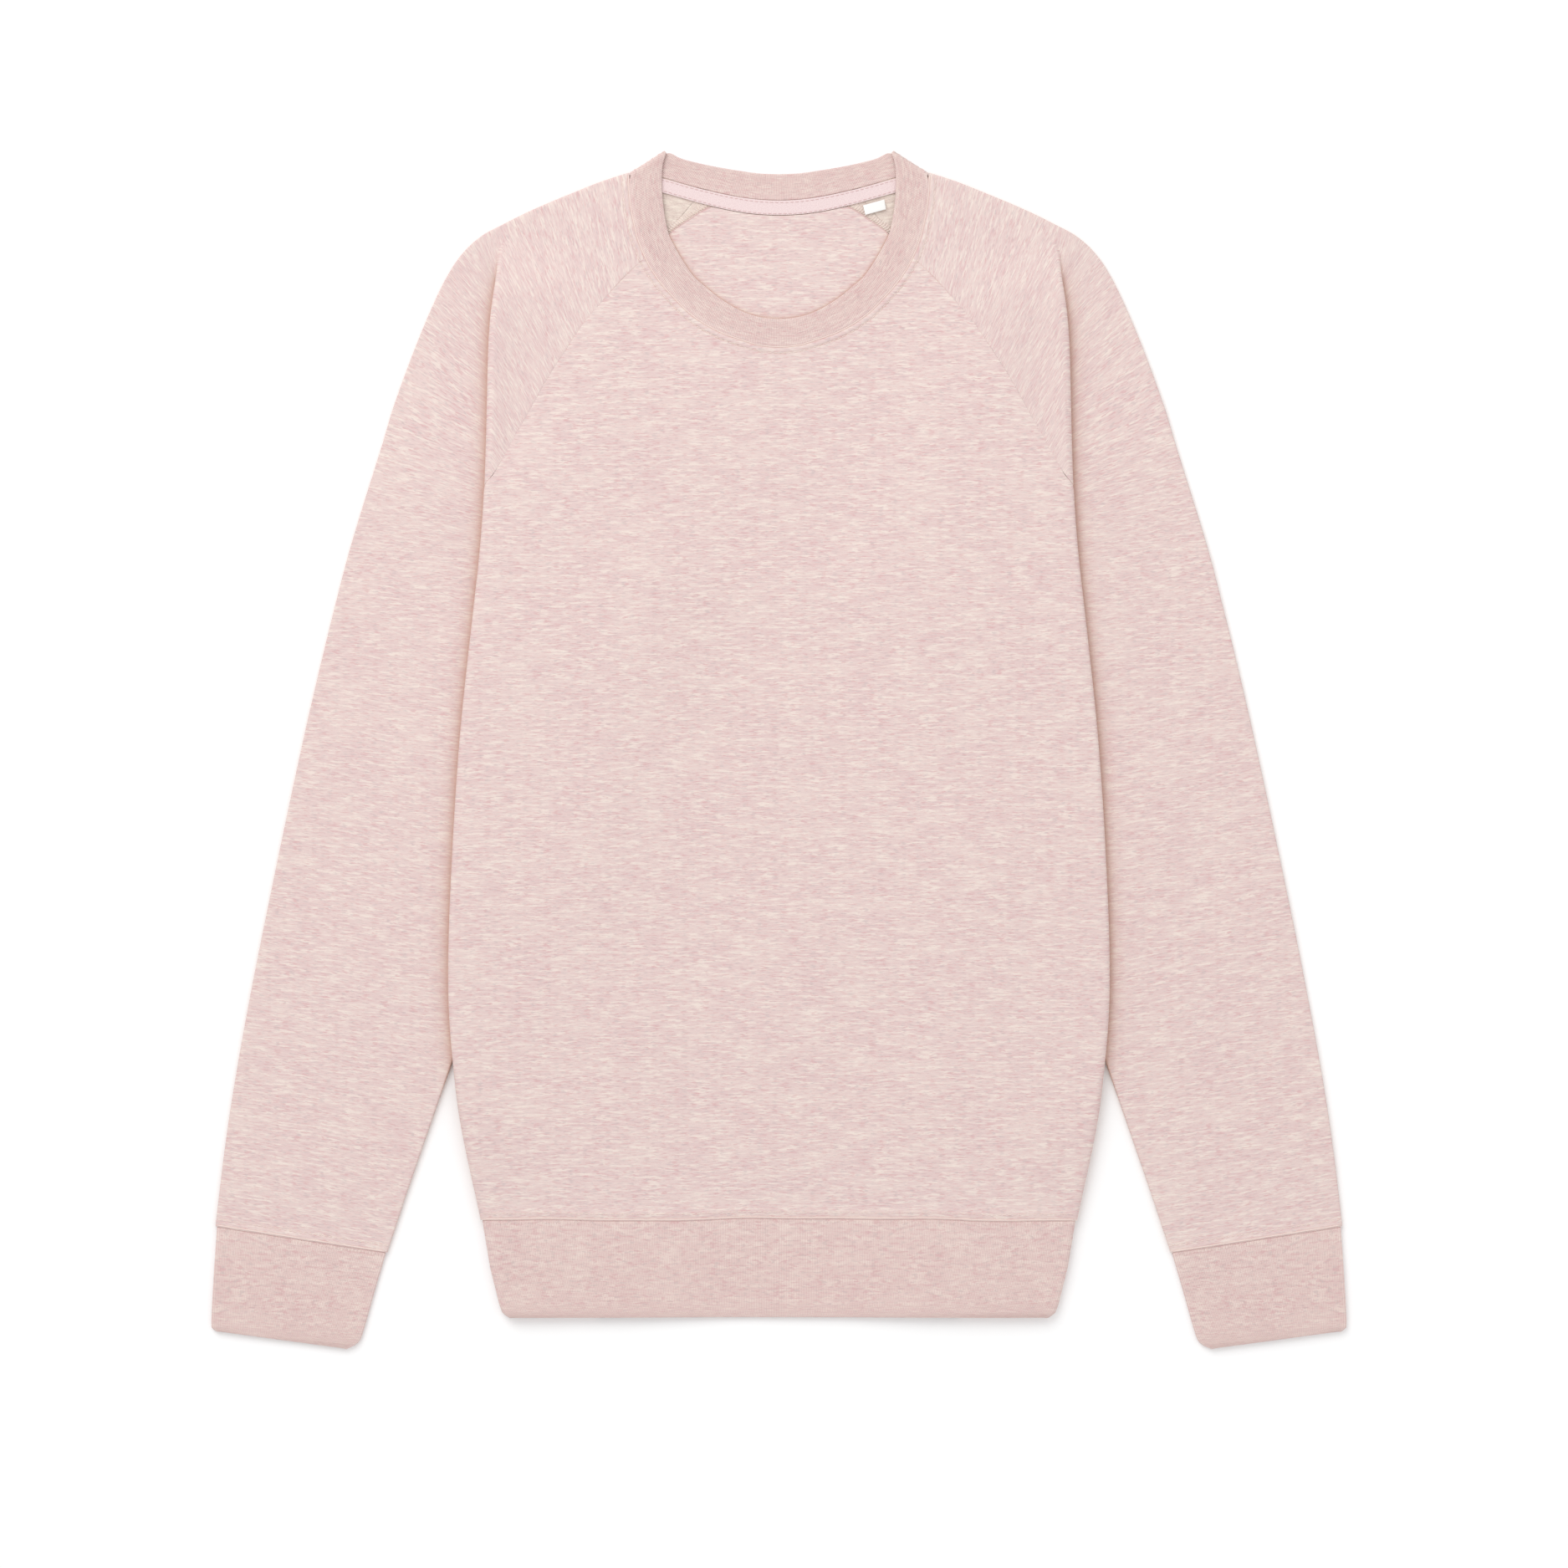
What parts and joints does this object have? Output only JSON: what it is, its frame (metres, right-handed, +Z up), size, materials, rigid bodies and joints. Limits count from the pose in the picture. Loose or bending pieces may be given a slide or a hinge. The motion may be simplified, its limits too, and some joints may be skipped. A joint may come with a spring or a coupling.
{
  "type": "crewneck sweatshirt",
  "caption": "Raglan crewneck sweatshirt laid flat, front up, with ribbed collar, cuffs and hem, sides folded under and long sleeves angled down beside the body.",
  "frame": {"origin": "centre of the footprint of the laid garment, on the surface it rests on", "axes": "+X to the wearer's left as seen from the front, +Y towards the neck, +Z up out of the surface, the garment's front facing +Z"},
  "size_m": [0.692, 0.7305, 0.0091],
  "materials": {
    "heather_fleece": "heather pink French terry with fine horizontal flecks, matt",
    "heather_rib": "heather pink fine rib, matt, a little deeper than the body",
    "neck_tape": "lilac pink woven herringbone tape, slight sheen",
    "woven_label": "plain white woven label, bare"
  },
  "bodies": {
    "root": {"front_panel": "heather_fleece", "back_panel": "heather_fleece", "sleeve_left": "heather_fleece", "sleeve_right": "heather_fleece", "half_moon": "heather_fleece", "collar_rib": "heather_rib", "cuff_left": "heather_rib", "cuff_right": "heather_rib", "hem_band": "heather_rib", "neck_tape": "neck_tape", "size_label": "woven_label"}
  },
  "joints": []
}
